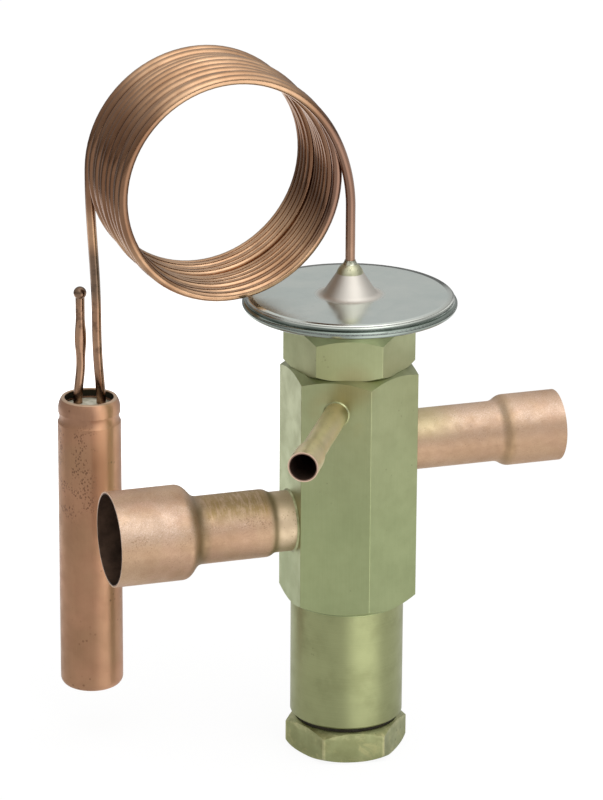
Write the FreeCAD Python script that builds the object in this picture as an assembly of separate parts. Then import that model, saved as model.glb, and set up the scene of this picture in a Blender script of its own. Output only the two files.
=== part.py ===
import FreeCAD, Part
import math
import os

# Expansion valve with three solder sockets, a power head, a wound sensing
# tube and a sensing bulb. Millimetres, +Z up. The origin is the middle of
# the flat bottom of the cap nut. +X points to the inlet, -X to the outlet.

# Fits shared by every pair of pieces
running_fit = 0.05
located_fit = 0.02
air_gap = 0.3

# How far a cutting shape runs past the metal that it opens
overshoot = 1.0

# Middle of a quarter round, as a share of its radius from either side
quarter_share = 1.0 - math.sqrt(0.5)

# Valve body, one brass forging
body_across_flats = 30.0
body_hex_height = 61.2
body_skirt_radius = 14.0
body_skirt_height = 30.3
body_neck_radius = 11.45
body_neck_height = 7.6
hex_chamfer_slope = math.tan(math.radians(30.0))
hex_edge_round = 0.2
body_top_land_inset = 0.8
skirt_edge_chamfer = 0.5

# Heights of the three ports
equalizer_below_body_top = 8.3
inlet_below_equalizer = 13.3
outlet_below_inlet = 17.9

# Bores in the body
flow_bore_radius = 6.0
spring_bore_radius = 8.0
socket_seat_depth = 4.0
equalizer_drill_radius = 2.2
chamber_radius = 5.0
chamber_mouth_radius = 8.0
chamber_mouth_depth = 4.4
rod_seal_wire = 1.8
partition_thickness = 2.8
keyway_width = 2.6
keyway_depth = 1.1

# Inlet stub, swaged copper tube
tube_outer_radius = 7.5
tube_wall = 0.9
inlet_reach = 54.2
inlet_socket_radius = 7.975
inlet_socket_wall = 0.875
inlet_socket_length = 13.2
inlet_swage_length = 4.2

# Outlet stub, swaged in two steps
outlet_reach = 61.0
outlet_mid_radius = 8.4
outlet_mid_wall = 0.9
outlet_neck_length = 4.3
outlet_small_swage = 3.0
outlet_large_swage = 5.6
outlet_socket_radius = 11.15
outlet_socket_wall = 0.6
outlet_socket_length = 17.0

# Equalizer stub, small copper tube with a belled mouth
equalizer_outer_radius = 3.0
equalizer_wall = 0.8
equalizer_reach = 52.9
equalizer_direction_deg = 240.0
equalizer_socket_radius = 3.2
equalizer_socket_wall = 0.5
equalizer_socket_length = 5.0
equalizer_bell_length = 9.0

# Braze beads round the feet of the stubs
large_bead = 0.4
small_bead = 0.3

# Cap nut and its washer
cap_across_flats = 26.5
cap_head_height = 8.0
cap_top_chamfer = 1.43
cap_bottom_radius = 12.5
cap_bottom_round = 1.7
cap_bottom_bow = 0.38
cap_turn_deg = 50.56
cap_thread_radius = 10.4
cap_thread_length = 7.4
cap_wall = 2.0
cap_floor = 3.0
cap_end_clearance = 0.8
cap_washer_thickness = 1.3
cap_washer_width = 2.0

# Gland nut that closes the spring bore
gland_thread_radius = 9.0
gland_thread_length = 4.6
gland_across_flats = 13.5
gland_hex_height = 3.6
spindle_seal_wire = 1.6
seal_groove_height = 1.8

# Adjusting spindle
spindle_radius = 3.0
spindle_square = 4.1
spindle_square_length = 5.9
spindle_tail = 1.1
spindle_collar_radius = 5.2
spindle_collar_height = 2.2
spindle_thread_length = 12.2
spindle_slot_width = 1.0
spindle_slot_depth = 1.6

# Spring carrier nut, spring and pin carrier
adjuster_height = 5.9
adjuster_boss_height = 2.0
spring_boss_radius = 4.6
spring_wire = 1.8
spring_mean_radius = 6.05
spring_length = 14.5
spring_turns = 5.0
carrier_height = 9.0
carrier_boss_height = 2.0
carrier_vent_radius = 0.9
carrier_vent_circle = 5.2
carrier_vent_count = 3

# Pin, seat and push rod
seat_height = 3.0
seat_flange_height = 1.0
seat_flange_radius = 7.4
seat_drop = 0.8
orifice_radius = 2.5
seat_chamfer = 0.3
pin_stem_radius = 2.2
pin_shoulder_radius = 3.4
pin_shoulder_height = 2.0
pin_cone_height = 2.8
pin_tip_above_seat_face = 0.9
pin_grip = 4.8
rod_radius = 1.5
retainer_height = 1.1

# Power head
head_nut_across_flats = 28.0
head_nut_height = 10.3
head_nut_turn_deg = 41.83
head_nut_bottom_chamfer = 0.9
head_nut_top_chamfer = 1.7
head_washer_thickness = 0.6
shell_radius = 26.2
lower_shell_sheet = 0.9
lower_shell_neck_radius = 9.0
lower_shell_neck_length = 1.9
lower_shell_floor_radius = 12.8
lower_shell_wall_radius = 16.5
lower_shell_wall_rise = 2.9
lower_shell_depth = 5.2
shell_rim_land = 1.8
shell_rim_round = 1.1
diaphragm_thickness = 0.2
diaphragm_inset = 0.25
diaphragm_ripple = 0.25
diaphragm_ripple_width = 2.4
diaphragm_ripple_inset = 2.2
upper_shell_sheet = 1.0
upper_shell_rise = 1.9
upper_flat_inset = 1.3
upper_shoulder_inset = 0.55
upper_shoulder_drop = 1.05
upper_shoulder_bow = 0.16
upper_rim_bow = 0.12
rim_seam_depth = 0.25
rim_seam_width = 0.3
cone_foot_radius = 7.6
cone_foot_round = 1.2
cone_foot_rise = 0.7
cone_foot_hollow = 0.15
cone_inner_foot_inset = 1.2
cone_top_radius = 3.3
cone_height = 5.5
buffer_radius = 14.0
buffer_thickness = 1.5
buffer_boss_radius = 4.0
buffer_boss_height = 1.7
buffer_edge_round = 0.4
rod_grip = 1.4

# Sensing tube: collar, solder and winding
capillary_radius = 1.19
collar_top_radius = 1.8
collar_height = 2.2
collar_bow = 0.18
collar_dip = 0.5
solder_height = 1.0
solder_tip_radius = 1.32
solder_hollow = 0.06
riser_height = 13.4
wire_section_sides = 12
winding_radius = 27.3
winding_pitch = 2.48
winding_turns = 10.0
winding_start_deg = 62.0
winding_centre_x = -30.5
winding_centre_y = -2.4
winding_above_shell_top = 29.65
winding_yaw_deg = 3.4
winding_dip_deg = 2.6
riser_bend = 10.5
ring_bend = 14.0
drop_bend = 13.0
drop_x = -56.0
drop_y = 28.5
drop_above_bulb_rim = 20.3
drop_reach_up = 14.0
drop_reach_down = 13.0
bulb_bend = 5.5

# Sensing bulb with its plug and the closed filling tube
bulb_x = -57.7
bulb_y = 30.1
bulb_bottom = 11.3
bulb_length = 76.4
bulb_radius = 7.87
bulb_wall = 0.8
bulb_bottom_round = 2.2
bulb_groove_from_top = 4.9
bulb_groove_depth = 0.42
bulb_groove_half_width = 1.3
bulb_neck_inset = 0.15
bulb_lip_inset = 0.95
bulb_lip_height = 3.0
bulb_lip_bow = 0.26
plug_below_rim = 1.9
plug_thickness = 5.0
plug_entry_depth = 3.5
plug_crown_radius = 3.65
plug_sag = 0.6
plug_bow = 0.12
lead_entry_x = 3.1
lead_entry_y = 0.1
filler_entry_x = -2.4
filler_entry_y = 1.8
filler_radius = 1.15
filler_height = 32.0
filler_lean_x = 0.85
filler_pinch_low = 14.5
filler_pinch_high = 26.0
filler_pinch_half_width = 1.5
filler_pinch_half_thick = 0.75
filler_sections = 20
filler_ball_radius = 1.62

# Heights worked out from the sizes above
skirt_end = cap_head_height + cap_washer_thickness
hex_start = skirt_end + body_skirt_height
body_top = hex_start + body_hex_height
neck_top = body_top + body_neck_height
equalizer_z = body_top - equalizer_below_body_top
inlet_z = equalizer_z - inlet_below_equalizer
outlet_z = inlet_z - outlet_below_inlet
face_distance = body_across_flats / 2.0
body_corner_radius = body_across_flats / math.sqrt(3.0)
seat_top = inlet_z - flow_bore_radius - seat_drop
seat_step = seat_top - seat_height
seat_face = seat_step - seat_flange_height
rod_seal_floor = inlet_z + flow_bore_radius + partition_thickness
retainer_floor = rod_seal_floor + rod_seal_wire + running_fit
rod_seal_pocket_radius = rod_radius + rod_seal_wire + 2.0 * running_fit
cap_bore_radius = cap_thread_radius + running_fit
gland_seat = cap_head_height + cap_thread_length + cap_end_clearance
gland_top = gland_seat + gland_thread_length
collar_low = gland_top + air_gap
collar_high = collar_low + spindle_collar_height
adjuster_low = collar_high + air_gap
adjuster_high = adjuster_low + adjuster_height
carrier_low = adjuster_high + spring_length
carrier_high = carrier_low + carrier_height
pin_tip = seat_face + pin_tip_above_seat_face
pin_cone_foot = pin_tip - pin_cone_height
guide_radius = spring_bore_radius - running_fit
head_shoulder = neck_top + head_washer_thickness
head_nut_top = body_top + head_nut_height
shell_floor = head_nut_top
diaphragm_low = shell_floor + lower_shell_depth
diaphragm_high = diaphragm_low + diaphragm_thickness
shell_top = diaphragm_high + upper_shell_rise
cone_top = shell_top + cone_height
buffer_top = diaphragm_low - air_gap
buffer_low = buffer_top - buffer_thickness
buffer_boss_low = buffer_low - buffer_boss_height
collar_top = cone_top + collar_height
solder_top = collar_top + solder_height
bulb_rim = bulb_bottom + bulb_length
plug_top = bulb_rim - plug_below_rim
gland_low = gland_seat - gland_hex_height

up = FreeCAD.Vector(0, 0, 1)
origin = FreeCAD.Vector(0, 0, 0)


def point(x, y, z):
    return FreeCAD.Vector(x, y, z)


def rod(radius, low, high, x=0.0, y=0.0):
    return Part.makeCylinder(radius, high - low, point(x, y, low), up)


def tube(outer, inner, low, high):
    return rod(outer, low, high).cut(rod(inner, low - overshoot, high + overshoot))


def line(a, b):
    return Part.makeLine(point(a[0], 0, a[1]), point(b[0], 0, b[1]))


def arc(a, middle, b):
    ends = [point(p[0], 0, p[1]) for p in (a, middle, b)]
    return Part.Arc(ends[0], ends[1], ends[2]).toShape()


def bowed(a, b, bow):
    # An arc whose middle stands off the straight line by the bow
    run = b[0] - a[0]
    rise = b[1] - a[1]
    off = bow / math.hypot(run, rise)
    middle = ((a[0] + b[0]) / 2.0 + off * rise, (a[1] + b[1]) / 2.0 - off * run)
    return arc(a, middle, b)


def ease(a, b):
    # A smooth step whose two ends run along the axis
    half = (a[1] + b[1]) / 2.0
    curve = Part.BezierCurve()
    poles = [(a[0], a[1]), (a[0], half), (b[0], half), (b[0], b[1])]
    curve.setPoles([point(p[0], 0, p[1]) for p in poles])
    return curve.toShape()


def turned(edges):
    # Spins a closed outline of (radius, height) edges about +Z
    wire = Part.Wire(edges)
    return Part.Face(wire).revolve(origin, up, 360)


def turned_points(points):
    edges = []
    for first, second in zip(points, points[1:] + points[:1]):
        edges.append(line(first, second))
    return turned(edges)


def hexagon(across_flats, low, high, turn_deg):
    # A hexagonal bar whose long edges are slightly rounded
    corner = across_flats / math.sqrt(3.0)
    points = []
    for step in range(7):
        angle = math.radians(turn_deg + 60.0 * step)
        points.append(point(corner * math.cos(angle), corner * math.sin(angle), low))
    face = Part.Face(Part.makePolygon(points))
    bar = face.extrude(point(0, 0, high - low))
    upright = [edge for edge in bar.Edges if edge.BoundBox.ZLength > 0.0]
    return bar.makeFillet(hex_edge_round, upright)


def aimed(shape, height, angle_deg):
    # Lays a shape built along +Z down so that its axis points outwards
    placed = shape.copy()
    placed.rotate(origin, point(0, 1, 0), 90)
    placed.rotate(origin, up, angle_deg)
    placed.translate(point(0, 0, height))
    return placed


def wire_section(radius, centre, across_one, across_two):
    # Long thin windings get a many-sided section, which keeps them light
    points = []
    half_step = math.pi / wire_section_sides
    corner = radius / math.sqrt(math.cos(half_step))
    for step in range(wire_section_sides + 1):
        angle = (2.0 * step + 1.0) * half_step
        side = across_one * (corner * math.cos(angle))
        points.append(centre + side + across_two * (corner * math.sin(angle)))
    return Part.makePolygon(points)


def save(shape, name):
    solid = shape
    if shape.ShapeType != "Solid" and len(shape.Solids) == 1:
        solid = shape.Solids[0]
    solid.exportStep("parts/" + name + ".step")


def valve_body():
    prism = hexagon(body_across_flats, hex_start, body_top, 30.0)
    low_rise = (body_corner_radius - body_skirt_radius) * hex_chamfer_slope
    top_radius = face_distance - body_top_land_inset
    top_drop = (body_corner_radius - top_radius) * hex_chamfer_slope
    trim = turned_points([
        (0, hex_start),
        (body_skirt_radius, hex_start),
        (body_corner_radius, hex_start + low_rise),
        (body_corner_radius, body_top - top_drop),
        (top_radius, body_top),
        (0, body_top),
    ])
    skirt = turned_points([
        (0, skirt_end),
        (body_skirt_radius - skirt_edge_chamfer, skirt_end),
        (body_skirt_radius, skirt_end + skirt_edge_chamfer),
        (body_skirt_radius, hex_start),
        (0, hex_start),
    ])
    neck = rod(body_neck_radius, body_top, neck_top)
    body = prism.common(trim).fuse([skirt, neck])
    bores = [
        rod(cap_bore_radius, skirt_end - overshoot, gland_seat),
        rod(gland_thread_radius + located_fit, gland_seat, gland_top),
        rod(spring_bore_radius, gland_top, seat_step),
        rod(flow_bore_radius + located_fit, seat_step, inlet_z),
        rod(rod_radius + running_fit, inlet_z, rod_seal_floor),
        rod(rod_seal_pocket_radius, rod_seal_floor, retainer_floor),
        rod(chamber_radius, retainer_floor, neck_top),
        rod(chamber_mouth_radius, neck_top - chamber_mouth_depth, neck_top + overshoot),
    ]
    keyway_reach = spring_bore_radius + keyway_depth
    keyway = Part.makeBox(
        keyway_reach, keyway_width, carrier_low - gland_top,
        point(0, -keyway_width / 2.0, gland_top))
    bores.append(keyway)
    seat_depth = face_distance - socket_seat_depth
    for height, angle in ((inlet_z, 0.0), (outlet_z, 180.0)):
        bores.append(aimed(rod(flow_bore_radius, 0, face_distance), height, angle))
        socket = rod(tube_outer_radius + located_fit, seat_depth, face_distance + overshoot)
        bores.append(aimed(socket, height, angle))
    drill = rod(equalizer_drill_radius, 0, face_distance)
    socket = rod(equalizer_outer_radius + located_fit, seat_depth, face_distance + overshoot)
    bores.append(aimed(drill, equalizer_z, equalizer_direction_deg))
    bores.append(aimed(socket, equalizer_z, equalizer_direction_deg))
    return body.cut(bores).removeSplitter()


def inlet_stub():
    foot = face_distance - socket_seat_depth
    socket_start = inlet_reach - inlet_socket_length
    swage_start = socket_start - inlet_swage_length
    outer = inlet_socket_radius + inlet_socket_wall
    inner = tube_outer_radius - tube_wall
    edges = [
        line((inner, foot), (tube_outer_radius, foot)),
        line((tube_outer_radius, foot), (tube_outer_radius, swage_start)),
        ease((tube_outer_radius, swage_start), (outer, socket_start)),
        line((outer, socket_start), (outer, inlet_reach)),
        line((outer, inlet_reach), (inlet_socket_radius, inlet_reach)),
        line((inlet_socket_radius, inlet_reach), (inlet_socket_radius, socket_start)),
        ease((inlet_socket_radius, socket_start), (inner, swage_start)),
        line((inner, swage_start), (inner, foot)),
    ]
    return aimed(turned(edges), inlet_z, 0.0)


def outlet_stub():
    foot = face_distance - socket_seat_depth
    small_start = face_distance + outlet_neck_length
    small_end = small_start + outlet_small_swage
    socket_start = outlet_reach - outlet_socket_length
    large_start = socket_start - outlet_large_swage
    inner = tube_outer_radius - tube_wall
    mid_inner = outlet_mid_radius - outlet_mid_wall
    outer = outlet_socket_radius + outlet_socket_wall
    edges = [
        line((inner, foot), (tube_outer_radius, foot)),
        line((tube_outer_radius, foot), (tube_outer_radius, small_start)),
        ease((tube_outer_radius, small_start), (outlet_mid_radius, small_end)),
        line((outlet_mid_radius, small_end), (outlet_mid_radius, large_start)),
        ease((outlet_mid_radius, large_start), (outer, socket_start)),
        line((outer, socket_start), (outer, outlet_reach)),
        line((outer, outlet_reach), (outlet_socket_radius, outlet_reach)),
        line((outlet_socket_radius, outlet_reach), (outlet_socket_radius, socket_start)),
        ease((outlet_socket_radius, socket_start), (mid_inner, large_start)),
        line((mid_inner, large_start), (mid_inner, small_end)),
        ease((mid_inner, small_end), (inner, small_start)),
        line((inner, small_start), (inner, foot)),
    ]
    return aimed(turned(edges), outlet_z, 180.0)


def equalizer_stub():
    foot = face_distance - socket_seat_depth
    socket_start = equalizer_reach - equalizer_socket_length
    bell_start = socket_start - equalizer_bell_length
    inner = equalizer_outer_radius - equalizer_wall
    outer = equalizer_socket_radius + equalizer_socket_wall
    edges = [
        line((inner, foot), (equalizer_outer_radius, foot)),
        line((equalizer_outer_radius, foot), (equalizer_outer_radius, bell_start)),
        ease((equalizer_outer_radius, bell_start), (outer, socket_start)),
        line((outer, socket_start), (outer, equalizer_reach)),
        line((outer, equalizer_reach), (equalizer_socket_radius, equalizer_reach)),
        line((equalizer_socket_radius, equalizer_reach), (equalizer_socket_radius, socket_start)),
        ease((equalizer_socket_radius, socket_start), (inner, bell_start)),
        line((inner, bell_start), (inner, foot)),
    ]
    return aimed(turned(edges), equalizer_z, equalizer_direction_deg)


def braze_bead(inner, size, height, angle):
    # A sloping ring of braze between the body's flat and a stub
    foot = (inner, face_distance)
    wide = (inner + size, face_distance)
    tall = (inner, face_distance + size)
    return aimed(turned_points([foot, wide, tall]), height, angle)


def cap_nut():
    corner = cap_across_flats / math.sqrt(3.0)
    top_radius = corner - cap_top_chamfer / hex_chamfer_slope
    shoulder = cap_head_height - cap_top_chamfer
    trim = turned([
        line((0, 0), (cap_bottom_radius, 0)),
        bowed((cap_bottom_radius, 0), (corner, cap_bottom_round), cap_bottom_bow),
        line((corner, cap_bottom_round), (corner, shoulder)),
        line((corner, shoulder), (top_radius, cap_head_height)),
        line((top_radius, cap_head_height), (0, cap_head_height)),
        line((0, cap_head_height), (0, 0)),
    ])
    head = hexagon(cap_across_flats, 0, cap_head_height, cap_turn_deg).common(trim)
    thread_end = cap_head_height + cap_thread_length
    boss = rod(cap_thread_radius, cap_head_height, thread_end)
    hollow = rod(cap_thread_radius - cap_wall, cap_floor, thread_end + overshoot)
    return head.fuse(boss).cut(hollow).removeSplitter()


def cap_washer():
    inner = cap_bore_radius
    return tube(inner + cap_washer_width, inner, cap_head_height, skirt_end)


def gland_nut():
    flats = hexagon(gland_across_flats, gland_low, gland_seat, 0.0)
    thread = rod(gland_thread_radius, gland_seat, gland_top)
    passage = rod(spindle_radius + running_fit, gland_low - overshoot, gland_top + overshoot)
    groove_radius = spindle_radius + spindle_seal_wire + 2.0 * running_fit
    groove = rod(groove_radius, gland_seat, gland_seat + seal_groove_height)
    return flats.fuse(thread).cut([passage, groove]).removeSplitter()


def spindle_seal():
    wire = spindle_seal_wire / 2.0
    middle = gland_seat + seal_groove_height / 2.0
    ring_radius = spindle_radius + running_fit + wire
    return Part.makeTorus(ring_radius, wire, point(0, 0, middle), up)


def adjusting_spindle():
    tail_low = gland_low - spindle_tail
    tip = tail_low - spindle_square_length
    half = spindle_square / 2.0
    corner = point(-half, -half, tip)
    square = Part.makeBox(spindle_square, spindle_square, spindle_square_length, corner)
    shaft = rod(spindle_radius, tail_low, collar_low)
    collar = rod(spindle_collar_radius, collar_low, collar_high)
    thread = rod(spindle_radius, collar_high, collar_high + spindle_thread_length)
    slot = Part.makeBox(
        spindle_slot_width, 2.0 * spindle_square, spindle_slot_depth,
        point(-spindle_slot_width / 2.0, -spindle_square, tip))
    return shaft.fuse([square, collar, thread]).cut(slot).removeSplitter()


def spring_adjuster():
    disc = rod(guide_radius, adjuster_low, adjuster_high)
    boss = rod(spring_boss_radius, adjuster_high, adjuster_high + adjuster_boss_height)
    lug_width = keyway_width - 2.0 * running_fit
    lug_reach = spring_bore_radius + keyway_depth - air_gap
    lug = Part.makeBox(lug_reach, lug_width, adjuster_height, point(0, -lug_width / 2.0, adjuster_low))
    boss_top = adjuster_high + adjuster_boss_height
    bore = rod(spindle_radius + running_fit, adjuster_low - overshoot, boss_top + overshoot)
    return disc.fuse([boss, lug]).cut(bore).removeSplitter()


def superheat_spring():
    # Wound a little long, then ground flat at both ends
    wire = spring_wire / 2.0
    pitch = (spring_length - spring_wire) / (spring_turns - 1.0)
    extra = wire
    height = spring_length + 2.0 * extra
    path = Part.makeHelix(pitch, height, spring_mean_radius)
    path.translate(point(0, 0, adjuster_high - extra))
    start = point(spring_mean_radius, 0, adjuster_high - extra)
    section = wire_section(wire, start, point(1, 0, 0), up)
    coil = path.makePipeShell([section], True, True)
    keep = rod(spring_bore_radius, adjuster_high, carrier_low)
    return coil.common(keep)


def pin_carrier():
    disc = rod(guide_radius, carrier_low, carrier_high)
    boss = rod(spring_boss_radius, carrier_low - carrier_boss_height, carrier_low)
    cuts = [rod(pin_stem_radius + located_fit, carrier_high - pin_grip, carrier_high + overshoot)]
    for step in range(carrier_vent_count):
        angle = math.radians(360.0 * step / carrier_vent_count)
        x = carrier_vent_circle * math.cos(angle)
        y = carrier_vent_circle * math.sin(angle)
        cuts.append(rod(carrier_vent_radius, carrier_low - overshoot, carrier_high + overshoot, x, y))
    return disc.fuse(boss).cut(cuts).removeSplitter()


def valve_pin():
    shoulder_low = pin_cone_foot - pin_shoulder_height
    return turned_points([
        (0, carrier_high - pin_grip),
        (pin_stem_radius, carrier_high - pin_grip),
        (pin_stem_radius, shoulder_low),
        (pin_shoulder_radius, shoulder_low),
        (pin_shoulder_radius, pin_cone_foot),
        (rod_radius, pin_tip),
        (0, pin_tip),
    ])


def orifice_seat():
    outer = flow_bore_radius
    return turned_points([
        (orifice_radius + seat_chamfer, seat_face),
        (seat_flange_radius, seat_face),
        (seat_flange_radius, seat_step),
        (outer, seat_step),
        (outer, seat_top),
        (orifice_radius, seat_top),
        (orifice_radius, seat_face + seat_chamfer),
    ])


def push_rod():
    return rod(rod_radius, pin_tip, buffer_boss_low + rod_grip)


def rod_seal():
    wire = rod_seal_wire / 2.0
    ring_radius = rod_radius + running_fit + wire
    return Part.makeTorus(ring_radius, wire, point(0, 0, rod_seal_floor + wire), up)


def seal_retainer():
    outer = chamber_radius - located_fit
    return tube(outer, rod_radius + 2.0 * running_fit, retainer_floor, retainer_floor + retainer_height)


def head_nut():
    corner = head_nut_across_flats / math.sqrt(3.0)
    low_radius = corner - head_nut_bottom_chamfer / hex_chamfer_slope
    top_radius = corner - head_nut_top_chamfer / hex_chamfer_slope
    trim = turned_points([
        (0, body_top),
        (low_radius, body_top),
        (corner, body_top + head_nut_bottom_chamfer),
        (corner, head_nut_top - head_nut_top_chamfer),
        (top_radius, head_nut_top),
        (0, head_nut_top),
    ])
    prism = hexagon(head_nut_across_flats, body_top, head_nut_top, head_nut_turn_deg)
    thread = rod(body_neck_radius + running_fit, body_top - overshoot, head_shoulder)
    mouth_radius = lower_shell_neck_radius + located_fit
    mouth = rod(mouth_radius, head_shoulder - overshoot, head_nut_top + overshoot)
    return prism.common(trim).cut([thread, mouth]).removeSplitter()


def head_washer():
    outer = body_neck_radius
    return tube(outer, lower_shell_neck_radius + air_gap, neck_top, head_shoulder)


def lower_shell():
    # A hat of one sheet: neck, floor, steep wall and a wide brim that rises a little
    sheet = lower_shell_sheet
    neck = lower_shell_neck_radius
    floor = lower_shell_floor_radius
    wall = lower_shell_wall_radius
    neck_low = shell_floor - lower_shell_neck_length
    wall_top = shell_floor + lower_shell_wall_rise
    land = shell_radius - shell_rim_land
    brim_edge = shell_radius - shell_rim_round
    round_inset = shell_rim_round * quarter_share
    round_middle = (shell_radius - round_inset, diaphragm_low - shell_rim_round + round_inset)
    edges = [
        line((neck - sheet, neck_low), (neck, neck_low)),
        line((neck, neck_low), (neck, shell_floor)),
        line((neck, shell_floor), (floor, shell_floor)),
        line((floor, shell_floor), (wall, wall_top)),
        line((wall, wall_top), (brim_edge, diaphragm_low - shell_rim_round)),
        arc((brim_edge, diaphragm_low - shell_rim_round), round_middle, (shell_radius, diaphragm_low)),
        line((shell_radius, diaphragm_low), (land, diaphragm_low)),
        line((land, diaphragm_low), (wall, wall_top + sheet)),
        line((wall, wall_top + sheet), (floor, shell_floor + sheet)),
        line((floor, shell_floor + sheet), (neck - sheet, shell_floor + sheet)),
        line((neck - sheet, shell_floor + sheet), (neck - sheet, neck_low)),
    ]
    return turned(edges)


def diaphragm():
    # Flat in the middle and at the rim, with one shallow ripple between
    outer = shell_radius - diaphragm_inset
    end = shell_radius - shell_rim_land - upper_shell_sheet - diaphragm_ripple_inset
    start = end - diaphragm_ripple_width
    half = (start + end) / 2.0
    lift = diaphragm_ripple
    low = diaphragm_low
    high = diaphragm_high
    edges = [
        line((0, low), (start, low)),
        arc((start, low), (half, low + lift), (end, low)),
        line((end, low), (outer, low)),
        line((outer, low), (outer, high)),
        line((outer, high), (end, high)),
        arc((end, high), (half, high + lift), (start, high)),
        line((start, high), (0, high)),
        line((0, high), (0, low)),
    ]
    return turned(edges)


def upper_shell():
    # One pressed disc, with a rounded shoulder, a seam round the rim and a cone in the middle
    sheet = upper_shell_sheet
    top = shell_top
    rim = (shell_radius, diaphragm_high)
    shoulder = (shell_radius - upper_shoulder_inset, top - upper_shoulder_drop)
    flat = (shell_radius - upper_flat_inset, top)
    seam_top = top - upper_shoulder_drop
    seam = (shoulder[0] - rim_seam_depth, seam_top - rim_seam_width / 2.0)
    bead = (shoulder[0], seam_top - rim_seam_width)
    foot_high = (cone_foot_radius - cone_foot_round, top + cone_foot_rise)
    land = shell_radius - shell_rim_land
    flat_edge = land - sheet
    inner_foot = cone_foot_radius - cone_inner_foot_inset
    bore = capillary_radius + located_fit
    edges = [
        line((bore, cone_top), (bore, cone_top - 2.0 * sheet)),
        line((bore, cone_top - 2.0 * sheet), (inner_foot, top - sheet)),
        line((inner_foot, top - sheet), (flat_edge, top - sheet)),
        line((flat_edge, top - sheet), (land, diaphragm_high)),
        line((land, diaphragm_high), rim),
        bowed(rim, bead, upper_rim_bow),
        line(bead, seam),
        line(seam, shoulder),
        bowed(shoulder, flat, upper_shoulder_bow),
        line(flat, (cone_foot_radius, top)),
        bowed((cone_foot_radius, top), foot_high, -cone_foot_hollow),
        line(foot_high, (cone_top_radius, cone_top)),
        line((cone_top_radius, cone_top), (bore, cone_top)),
    ]
    return turned(edges)


def buffer_plate():
    socket = buffer_boss_low + rod_grip
    bore = rod_radius + located_fit
    edge = buffer_edge_round
    return turned_points([
        (bore, buffer_boss_low),
        (buffer_boss_radius, buffer_boss_low),
        (buffer_boss_radius, buffer_low),
        (buffer_radius - edge, buffer_low),
        (buffer_radius, buffer_low + edge),
        (buffer_radius, buffer_top - edge),
        (buffer_radius - edge, buffer_top),
        (0, buffer_top),
        (0, socket),
        (bore, socket),
    ])


def capillary_collar():
    bore = capillary_radius + located_fit
    edges = [
        line((bore, cone_top), (cone_top_radius, cone_top)),
        bowed((cone_top_radius, cone_top), (collar_top_radius, collar_top), collar_bow),
        line((collar_top_radius, collar_top), (bore, collar_top)),
        line((bore, collar_top), (bore, cone_top)),
    ]
    return turned(edges)


def capillary_solder():
    bore = capillary_radius + located_fit
    edges = [
        line((bore, collar_top), (collar_top_radius, collar_top)),
        bowed((collar_top_radius, collar_top), (solder_tip_radius, solder_top), -solder_hollow),
        line((solder_tip_radius, solder_top), (bore, solder_top)),
        line((bore, solder_top), (bore, collar_top)),
    ]
    return turned(edges)


def winding_axes():
    # Across, up and away: the winding's axis runs back from the front ring
    yaw = math.radians(winding_yaw_deg)
    dip = math.radians(winding_dip_deg)
    away = point(-math.sin(yaw) * math.cos(dip), math.cos(yaw) * math.cos(dip), math.sin(dip))
    across = point(math.cos(yaw), math.sin(yaw), 0)
    rise = across.cross(away)
    return across, rise, away


def winding_point(angle_deg, turns):
    across, rise, away = winding_axes()
    angle = math.radians(angle_deg)
    centre = point(winding_centre_x, winding_centre_y, shell_top + winding_above_shell_top)
    spot = centre + across * (winding_radius * math.cos(angle))
    spot = spot + rise * (winding_radius * math.sin(angle))
    return spot + away * (winding_pitch * turns)


def winding_direction(angle_deg):
    across, rise, away = winding_axes()
    angle = math.radians(angle_deg)
    around = rise * math.cos(angle) - across * math.sin(angle)
    lead = winding_pitch / (2.0 * math.pi * winding_radius)
    direction = around + away * lead
    direction.normalize()
    return direction


def bend(start, start_direction, start_reach, end, end_direction, end_reach):
    curve = Part.BezierCurve()
    curve.setPoles([
        start,
        start + start_direction * start_reach,
        end - end_direction * end_reach,
        end,
    ])
    return curve.toShape()


def capillary_tube():
    across, rise, away = winding_axes()
    total_turns = winding_turns + (180.0 - winding_start_deg) / 360.0
    height = total_turns * winding_pitch
    helix = Part.makeLongHelix(winding_pitch, height, winding_radius, 0, True)
    # The helix is left handed about its own +Z, which is laid along the winding
    start_angle = math.radians(winding_start_deg)
    x_axis = across * math.cos(start_angle) + rise * math.sin(start_angle)
    y_axis = away.cross(x_axis)
    centre = point(winding_centre_x, winding_centre_y, shell_top + winding_above_shell_top)
    frame = FreeCAD.Matrix(
        x_axis.x, y_axis.x, away.x, centre.x,
        x_axis.y, y_axis.y, away.y, centre.y,
        x_axis.z, y_axis.z, away.z, centre.z,
        0, 0, 0, 1)
    helix.Placement = FreeCAD.Placement(frame)
    foot = point(0, 0, cone_top - collar_dip)
    riser_top = point(0, 0, solder_top + riser_height)
    ring_start = winding_point(winding_start_deg, 0.0)
    ring_end = winding_point(180.0, total_turns)
    first = Part.makeLine(foot, riser_top)
    second = bend(
        riser_top, up, riser_bend,
        ring_start, winding_direction(winding_start_deg), ring_bend)
    down = point(0, 0, -1)
    waypoint = point(drop_x, drop_y, bulb_rim + drop_above_bulb_rim)
    entry = point(bulb_x + lead_entry_x, bulb_y + lead_entry_y, plug_top)
    tube_end = entry + down * plug_entry_depth
    third = bend(ring_end, winding_direction(180.0), drop_bend, waypoint, down, drop_reach_up)
    fourth = bend(waypoint, down, drop_reach_down, entry, down, bulb_bend)
    fifth = Part.makeLine(entry, tube_end)
    path = Part.Wire([first, second] + helix.Edges + [third, fourth, fifth])
    section = wire_section(capillary_radius, foot, point(1, 0, 0), point(0, 1, 0))
    return path.makePipeShell([section], True, False)


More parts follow.
